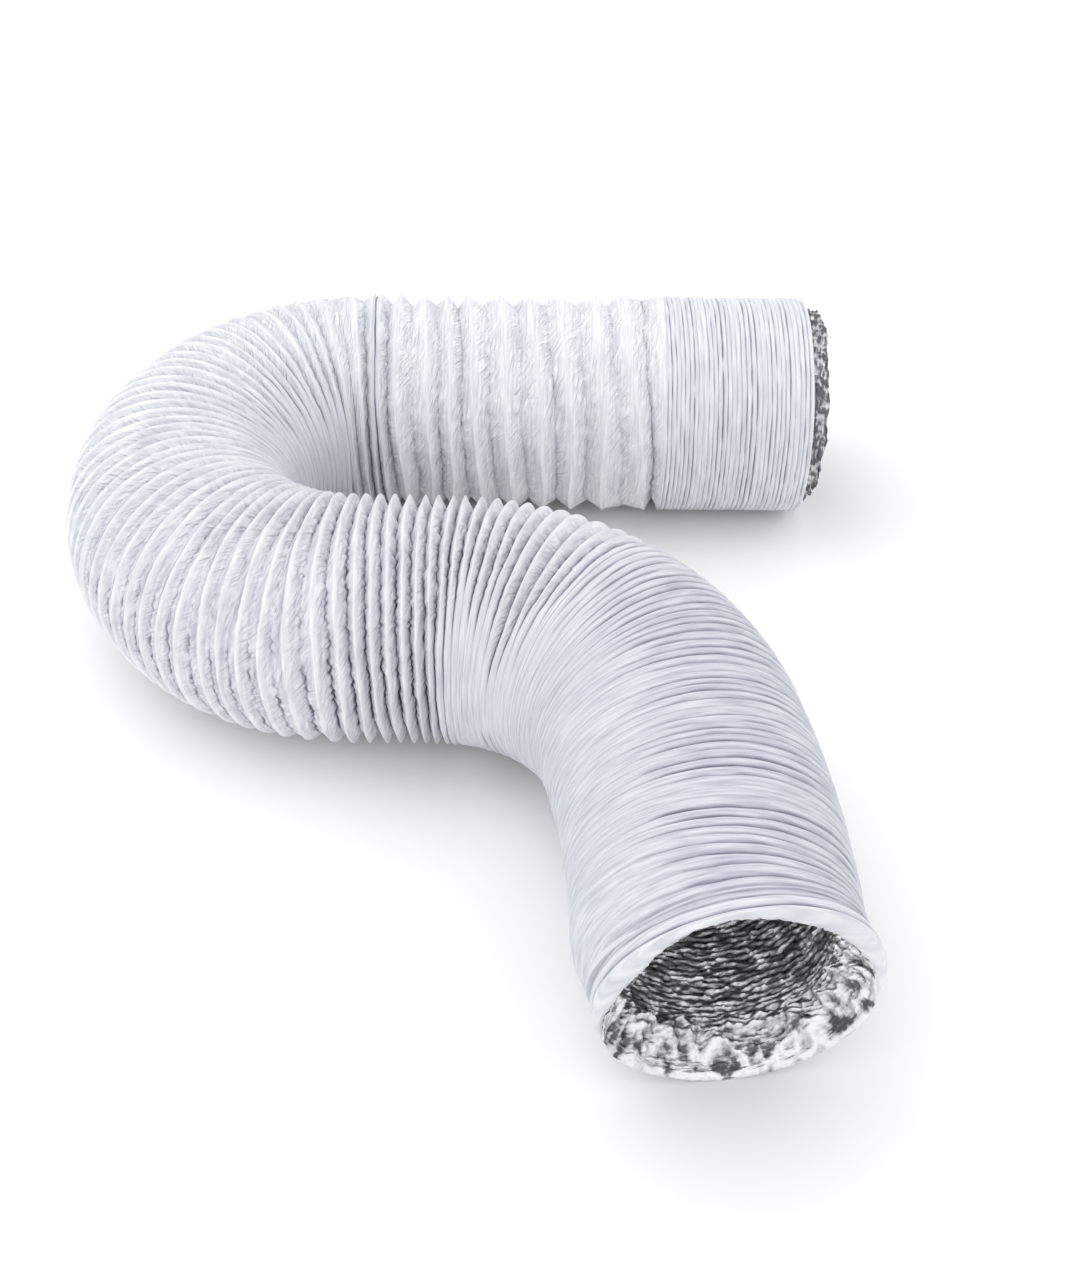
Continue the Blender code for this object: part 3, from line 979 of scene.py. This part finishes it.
FLOOR_SIZE = 30.0
FLOOR_DROP = 0.2 * MM         # keeps the floor clear of the hose's underside


def make_floor():
    bpy.ops.mesh.primitive_plane_add(size=FLOOR_SIZE, location=(0.0, 0.0, -FLOOR_DROP))
    floor = bpy.context.object
    floor.name = "floor"
    floor.data.materials.append(floor_material())


def add_light(name, place_at, target, size, power):
    data = bpy.data.lights.new(name, "AREA")
    data.shape = "DISK"
    data.size = size
    data.energy = power
    light = bpy.data.objects.new(name, data)
    light.location = place_at
    light.rotation_euler = (Vector(target) - Vector(place_at)).to_track_quat("-Z", "Y").to_euler()
    bpy.context.scene.collection.objects.link(light)


SKY_TONES = [                 # colour of the room by how far up one looks
    (0.1, (0.80, 0.81, 0.83)),
    (0.65, (0.98, 0.985, 1.0)),
]
SKY_STRENGTH = 1.14


def make_light():
    """A pale room that is brightest overhead, and one large soft lamp."""
    world = bpy.data.worlds.new("studio")
    world.use_nodes = True
    tree = world.node_tree
    direction = tree.nodes.new("ShaderNodeTexCoord")
    split = tree.nodes.new("ShaderNodeSeparateXYZ")
    tree.links.new(direction.outputs["Generated"], split.inputs["Vector"])
    background = tree.nodes["Background"]
    tree.links.new(add_ramp(tree, split.outputs["Z"], SKY_TONES), background.inputs["Color"])
    background.inputs["Strength"].default_value = SKY_STRENGTH
    bpy.context.scene.world = world
    add_light("key", place_at=(-0.8, 0.2, 2.0), target=(0.0, 0.0, 0.0), size=1.6, power=7.0)


# Camera, fitted to the outline in the photograph
TARGET = Vector((54.37, 54.07, 0.0)) * MM
DISTANCE = 1108.92 * MM
ELEVATION = math.radians(42.24)
ROLL = 0.0089
LENS = 45.32
SENSOR = 36.0


def make_camera():
    data = bpy.data.cameras.new("camera")
    data.sensor_width = SENSOR
    data.lens = LENS
    camera = bpy.data.objects.new("camera", data)
    bpy.context.scene.collection.objects.link(camera)
    back = Vector((0.0, -math.cos(ELEVATION), math.sin(ELEVATION)))
    right = Vector((1.0, 0.0, 0.0))
    up = back.cross(right)
    rolled_right = right * math.cos(ROLL) + up * math.sin(ROLL)
    rolled_up = up * math.cos(ROLL) - right * math.sin(ROLL)
    turn = Matrix((rolled_right, rolled_up, back)).transposed()
    camera.matrix_world = Matrix.Translation(TARGET + back * DISTANCE) @ turn.to_4x4()
    bpy.context.scene.camera = camera


def make_view():
    settings = bpy.context.scene.view_settings
    settings.view_transform = "Standard"
    settings.look = "None"
    settings.exposure = 0.0


make_hose()
make_floor()
make_light()
make_camera()
make_view()
